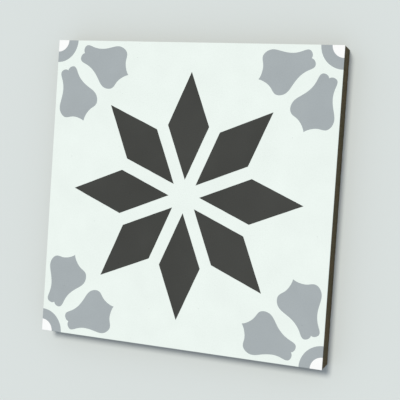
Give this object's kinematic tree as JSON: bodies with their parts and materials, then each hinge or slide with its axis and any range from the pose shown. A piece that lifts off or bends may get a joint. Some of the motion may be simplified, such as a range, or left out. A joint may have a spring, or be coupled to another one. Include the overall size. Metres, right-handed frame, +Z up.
{
  "type": "encaustic cement tile",
  "caption": "Square pressed cement tile for floors and walls, its flat face inlaid with a dark star of rhombs and grey corner blossoms on a pale ground.",
  "frame": {"origin": "middle of the back, on the floor that the tile lies on", "axes": "+Z up through the tile, out of its patterned face; +X and +Y along its sides"},
  "size_m": [0.2, 0.2, 0.016],
  "materials": {
    "cement": "matte"
  },
  "bodies": {
    "root": {"tile": "cement"}
  },
  "joints": []
}
